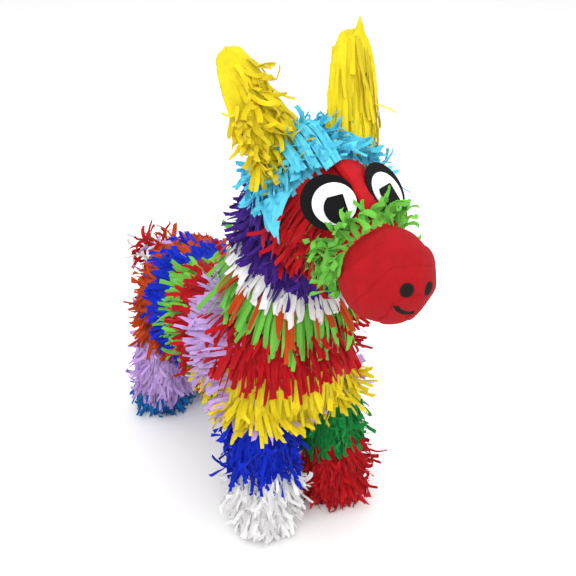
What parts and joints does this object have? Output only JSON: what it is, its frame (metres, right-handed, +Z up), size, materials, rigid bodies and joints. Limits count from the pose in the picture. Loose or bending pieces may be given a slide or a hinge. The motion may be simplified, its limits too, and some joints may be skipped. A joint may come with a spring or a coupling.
{
  "type": "pinata",
  "caption": "Donkey-shaped papier-mache pinata dressed in cut crepe-paper fringe, with a hinged fill flap and a wire hanging loop in its back.",
  "frame": {"origin": "on the floor, under the middle of the bounding box", "axes": "+Z up, -Y the way the donkey faces, -X its right flank"},
  "size_m": [0.176, 0.5184, 0.5448],
  "materials": {
    "crepe_light_blue": "crinkled tissue, matt",
    "crepe_turquoise": "crinkled tissue, matt",
    "crepe_purple": "crinkled tissue, matt",
    "crepe_yellow": "crinkled tissue, matt",
    "crepe_orange": "crinkled tissue, matt",
    "crepe_lilac": "crinkled tissue, matt",
    "crepe_lime": "crinkled tissue, matt",
    "crepe_green": "crinkled tissue, matt",
    "crepe_white": "crinkled tissue, matt",
    "crepe_blue": "crinkled tissue, matt",
    "crepe_red": "crinkled tissue, matt",
    "papier_mache": "rough dried paste over newsprint, matt",
    "grey_card": "plain board, matt",
    "black_card": "black card, faint sheen",
    "white_card": "white card, matt",
    "wire": "drawn galvanised wire",
    "dowel_wood": "plain sanded"
  },
  "bodies": {
    "root": {"body_fringe_blue": "crepe_blue", "body_fringe_green": "crepe_lime", "body_fringe_lilac": "crepe_lilac", "body_fringe_orange": "crepe_orange", "body_fringe_red": "crepe_red", "body_shell": "papier_mache", "chest_fringe_red": "crepe_red", "chest_fringe_yellow": "crepe_yellow", "crown_fringe_light_blue": "crepe_light_blue", "ear_card_left": "grey_card", "ear_card_right": "grey_card", "ear_fringe_left": "crepe_yellow", "ear_fringe_right": "crepe_yellow", "ear_tissue_left": "crepe_yellow", "ear_tissue_right": "crepe_yellow", "eye_backing_left": "black_card", "eye_backing_right": "black_card", "eye_pupil_left": "black_card", "eye_pupil_right": "black_card", "eye_white_left": "white_card", "eye_white_right": "white_card", "face_fringe_red": "crepe_red", "foot_disc_front_left": "grey_card", "foot_disc_front_right": "grey_card", "foot_disc_hind_left": "grey_card", "foot_disc_hind_right": "grey_card", "hanger_dowel": "dowel_wood", "head_shell": "papier_mache", "leg_fringe_front_left_green": "crepe_green", "leg_fringe_front_left_red": "crepe_red", "leg_fringe_front_right_blue": "crepe_blue", "leg_fringe_front_right_white": "crepe_white", "leg_fringe_hind_left_lilac": "crepe_lilac", "leg_fringe_hind_left_turquoise": "crepe_turquoise", "leg_fringe_hind_right_lilac": "crepe_lilac", "leg_fringe_hind_right_turquoise": "crepe_turquoise", "leg_tube_front_left": "papier_mache", "leg_tube_front_right": "papier_mache", "leg_tube_hind_left": "papier_mache", "leg_tube_hind_right": "papier_mache", "muzzle_ball": "papier_mache", "muzzle_fringe_green": "crepe_lime", "muzzle_wrap": "crepe_red", "neck_fringe_green": "crepe_lime", "neck_fringe_orange": "crepe_orange", "neck_fringe_purple": "crepe_purple", "neck_fringe_white": "crepe_white", "neck_shell": "papier_mache", "rump_fringe_lilac": "crepe_lilac", "tail_core": "papier_mache", "tail_fringe_red": "crepe_red"},
    "flap": {"fill_flap": "papier_mache", "flap_fringe_blue": "crepe_blue", "flap_fringe_orange": "crepe_orange"},
    "hanging_loop": {"hanger_loop": "wire"}
  },
  "joints": [
    {"name": "flap_hinge", "type": "hinge", "parent": "root", "child": "flap", "pos_m": [0.027, 0.1174, 0.25004], "axis": [0, 0.9912, -0.1325], "range_deg": [0, 110]},
    {"name": "loop_swing", "type": "hinge", "parent": "root", "child": "hanging_loop", "pos_m": [0, 0.04775, 0.25701], "axis": [0, -0.9912, 0.1325], "range_deg": [0, 120]}
  ]
}
